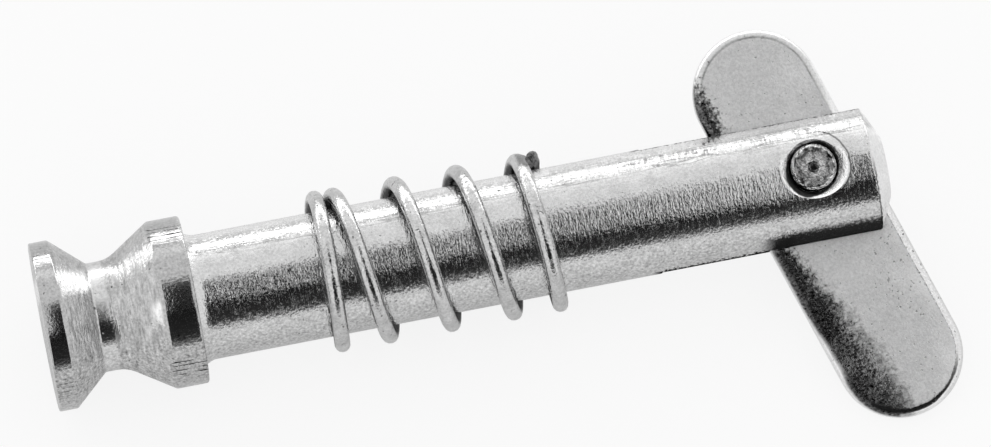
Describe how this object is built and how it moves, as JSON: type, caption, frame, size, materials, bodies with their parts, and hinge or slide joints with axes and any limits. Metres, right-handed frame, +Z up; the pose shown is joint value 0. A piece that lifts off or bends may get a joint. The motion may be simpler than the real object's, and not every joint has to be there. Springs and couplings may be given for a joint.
{
  "type": "quick release pin",
  "caption": "Short stainless quick release pin with a grooved spool head, a loose coil spring on its shaft and a swinging toggle nose.",
  "frame": {"origin": "centre of the collar's bearing face, on the shaft's axis", "axes": "+X along the shaft from the head towards the nose, +Z up. The pin lies on its side, rolled about X until the toggle's long lobe comes down level with the head's rims on the -Y side"},
  "size_m": [0.0453, 0.0198, 0.0086],
  "materials": {
    "turned_stainless": "bright turned stainless steel with fine ring marks and small dents",
    "pressed_stainless": "tumbled stainless plate, satin, with pits and rubbed edges",
    "pivot_stainless": "dull stainless pin end, punched and pitted",
    "spring_wire": "bright drawn stainless wire"
  },
  "bodies": {
    "pin": {"pin_body": "turned_stainless"},
    "toggle": {"toggle": "pressed_stainless", "pivot_pin": "pivot_stainless"},
    "spring": {"return_spring": "spring_wire"}
  },
  "joints": [
    {"name": "toggle_swing", "type": "hinge", "parent": "pin", "child": "toggle", "pos_m": [0.03175, 0.0005, 0.00016], "axis": [0, -0.3072, 0.9516], "range_deg": [-57, 215]},
    {"name": "spring_slide", "type": "slide", "parent": "pin", "child": "spring", "axis": [1, 0, 0], "range_m": [-0.0058, 0.0034]}
  ]
}
